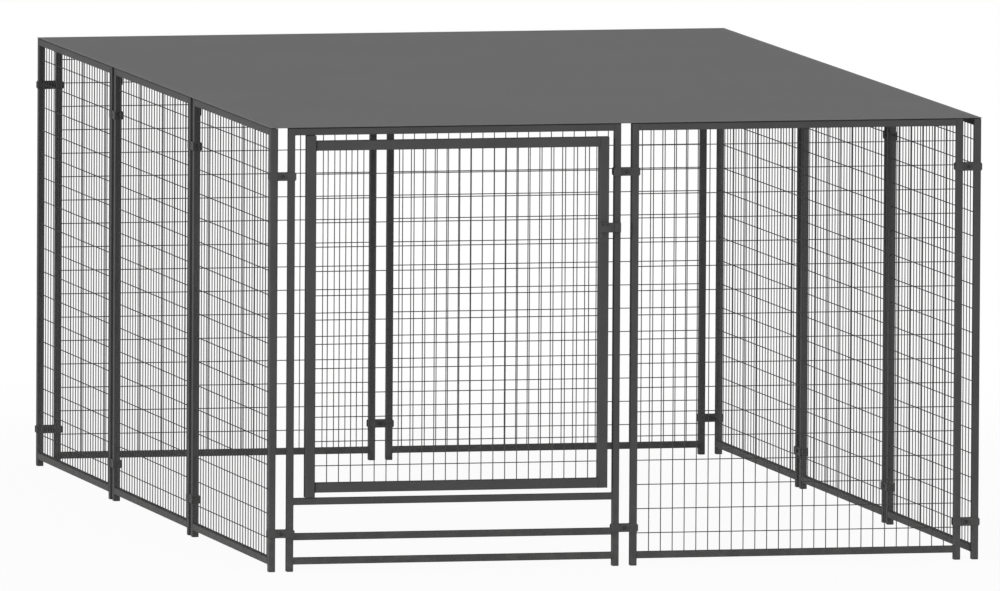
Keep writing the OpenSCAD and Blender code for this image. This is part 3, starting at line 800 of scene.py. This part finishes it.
def pan_screw(radius, length):
    """Rounded head with a cross recess below z = 0, shank above."""
    head = bar(sides=32, radius=2 * radius, length=SCREW_HEAD, middle=(0, 0, -SCREW_HEAD / 2))
    edit(head)
    select_points(head, lambda p: p.z < -SCREW_HEAD / 2)
    bpy.ops.mesh.bevel(offset=SCREW_HEAD * HEAD_ROUND, segments=4, affect="EDGES")
    done()
    below = Vector((0, 0, -2 * SCREW_HEAD))
    floor_of_recess = Vector((0, 0, -SCREW_HEAD * RECESS_FLOOR))
    for x, y in ((RECESS_LONG, RECESS_WIDE), (RECESS_WIDE, RECESS_LONG)):
        reach = Vector((x * radius, y * radius, 0))
        cut(head, block(below - reach, floor_of_recess + reach))
    shank = bar(sides=16, radius=radius, length=length, middle=(0, 0, length / 2))
    screw = join("screw", head, shank)
    soften(screw)
    return screw


finish_piece(latch_block(), COAT, "gate", "frame_coat", "latch_housing")
finish_piece(keeper_channel(), COAT, "run_frame", "frame_coat", "latch_keeper")

into_gate = Matrix.Rotation(-math.pi / 2, 4, "X")
latch_places = [Matrix.Translation((x, GATE_FRONT - LATCH_DEPTH, LATCH_SCREW_Z)) @ into_gate
                for x in LATCH_SCREW_X]
latch_screws = set_of_copies(pan_screw(LATCH_SCREW_R, LATCH_SCREW_L), "latch_cross_screws", latch_places)
finish_piece(latch_screws, ZINC, "gate", "dark_zinc", "latch_screws")

into_post = Matrix.Rotation(math.pi / 2, 4, "X")
hanger_spots = [Matrix.Translation((off, TUBE / 2 + HANGER_T, HANGER_SCREW_Z))
                for off in (-POST_OFF, POST_OFF)]
hanger_places = [on_wall(*joint) @ spot @ into_post for joint in SIDE_JOINTS for spot in hanger_spots]
hanger_screws = set_of_copies(pan_screw(HANGER_SCREW_R, HANGER_SCREW_L), "hanger_cross_screws", hanger_places)
finish_piece(hanger_screws, ZINC, "run_frame", "dark_zinc", "roof_bar_screws")


# Roof cover

SHEET_T = 0.001
SHEET_INSET = 0.001
HEM_SKIN = 0.0004
HEM_BAND = 0.022
HEM_TUCK = 0.005
SHEET_TOP = COVER_TOP - HEM_SKIN
SAG = 0.006
RIPPLE = 0.06
BAYS = (-WALL_Y, -SIDE_JOINT, SIDE_JOINT, WALL_Y)


def cover_sag(x, y):
    """How far the cover hangs below its flat plane: in three bays between the walls and the roof bars."""
    for start, stop in zip(BAYS, BAYS[1:]):
        if start < y < stop and abs(x) < WALL_X:
            t = (y - start) / (stop - start)
            across = 1 - abs(x / WALL_X) ** 4
            ripple = 1 + RIPPLE * math.sin(9 * x + 2.3 * y)
            return SAG * math.sin(math.pi * t) ** 2 * across * ripple
    return 0.0


bpy.ops.mesh.primitive_grid_add(x_subdivisions=76, y_subdivisions=114, size=1, location=(0, 0, SHEET_TOP))
sheet = bpy.context.object
sheet.name = "cover_sheet"
sheet.scale = (2 * COVER_X - SHEET_INSET, 2 * COVER_Y - SHEET_INSET, 1)
settle(sheet)
for v in sheet.data.vertices:
    v.co.z -= cover_sag(v.co.x, v.co.y)
modify(sheet, "SOLIDIFY", thickness=SHEET_T, offset=-1)
soften(sheet, 60)
finish_piece(sheet, COVER, "run_frame", "cover_fabric", "roof_cover")


def edge_binding():
    """Band sewn round the cover's edge: wide on top, turned over the edge, narrow below."""
    bpy.ops.mesh.primitive_plane_add(size=1, location=(0, 0, COVER_TOP))
    hem = bpy.context.object
    hem.scale = (2 * COVER_X, 2 * COVER_Y, 1)
    settle(hem)
    edit(hem)
    bpy.ops.mesh.select_all(action="SELECT")
    bpy.ops.mesh.inset(thickness=HEM_BAND, depth=0)
    bpy.ops.mesh.delete(type="FACE")
    select_points(hem, lambda p: abs(p.x) > COVER_X - NEAR)
    bpy.ops.mesh.extrude_edges_move(TRANSFORM_OT_translate={"value": (0, 0, -SHEET_T - 2 * HEM_SKIN)})
    bpy.ops.mesh.extrude_edges_move()
    bpy.ops.transform.resize(value=((COVER_X - HEM_TUCK) / COVER_X, (COVER_Y - HEM_TUCK) / COVER_Y, 1),
                             center_override=(0, 0, COVER_TOP))
    done()
    modify(hem, "SOLIDIFY", thickness=HEM_SKIN, offset=0)
    hem.name = "cover_binding"
    soften(hem, 30)
    return hem


binding = edge_binding()
finish_piece(binding, HEM, "run_frame", "cover_fabric")


# Floor, light and camera

FLOOR_SIZE = 160
FLOOR_DROP = 0.0005
LAMP_AWAY = 10
CAMERA_TURN = math.radians(-13.2253)
CAMERA_RISE = math.radians(5.3081)
CAMERA_ROLL = math.radians(0.3303)
CAMERA_AIM = Vector((-0.0034, 0.0, 0.9101))
CAMERA_AWAY = 116.298

bpy.ops.mesh.primitive_plane_add(size=FLOOR_SIZE, location=(0, 0, -FLOOR_DROP))
floor = bpy.context.object
floor.name = "floor"
floor.data.materials.append(white_floor("floor_white"))


def sky(horizon, zenith):
    """White light, stronger low down than overhead; the background shows plain white."""
    f = Finish("studio", bpy.data.worlds)
    bpy.context.scene.world = f.owner
    height = f.axes(f.node("ShaderNodeTexCoord", out="Generated"))[2]
    strength = horizon + (zenith - horizon) * height.ramp(0.1, 0.75)
    light = f.node("ShaderNodeBackground", None, {"Color": WHITE, "Strength": strength})
    shown = f.node("ShaderNodeBackground", None, {"Color": WHITE, "Strength": 1.0})
    both = f.node("ShaderNodeMixShader", None, {0: f.background_seen(), 1: light, 2: shown})
    f.end(both, "ShaderNodeOutputWorld")


def lamp(name, towards, strength, spread):
    """Soft distant lamp; towards points from the object to the lamp, the spread is in degrees."""
    bpy.ops.object.light_add(type="SUN", location=Vector(towards) * LAMP_AWAY)
    sun = bpy.context.object
    sun.name = name
    sun.data.energy = strength
    sun.data.angle = math.radians(spread)
    sun.rotation_euler = Vector(towards).to_track_quat("Z", "Y").to_euler()


sky(horizon=0.7, zenith=0.4)
lamp("side", towards=(-0.985, -0.1, 0.14), strength=3.1, spread=30)
lamp("front", towards=(0.25, -0.96, 0.1), strength=1.6, spread=30)

back = Vector((math.sin(CAMERA_TURN) * math.cos(CAMERA_RISE), -math.cos(CAMERA_TURN) * math.cos(CAMERA_RISE),
               math.sin(CAMERA_RISE)))
level_right = Vector((0, 0, 1)).cross(back).normalized()
level_up = back.cross(level_right)
right = level_right * math.cos(CAMERA_ROLL) + level_up * math.sin(CAMERA_ROLL)
up = level_up * math.cos(CAMERA_ROLL) - level_right * math.sin(CAMERA_ROLL)
facing = Matrix((right, up, back)).transposed().to_4x4()
bpy.ops.object.camera_add()
camera = bpy.context.object
camera.matrix_world = Matrix.Translation(CAMERA_AIM + back * CAMERA_AWAY) @ facing
camera.data.lens = 1000
camera.data.sensor_width = 36
camera.data.clip_start = 1
camera.data.clip_end = 400
bpy.context.scene.camera = camera
bpy.context.scene.view_settings.view_transform = "Standard"
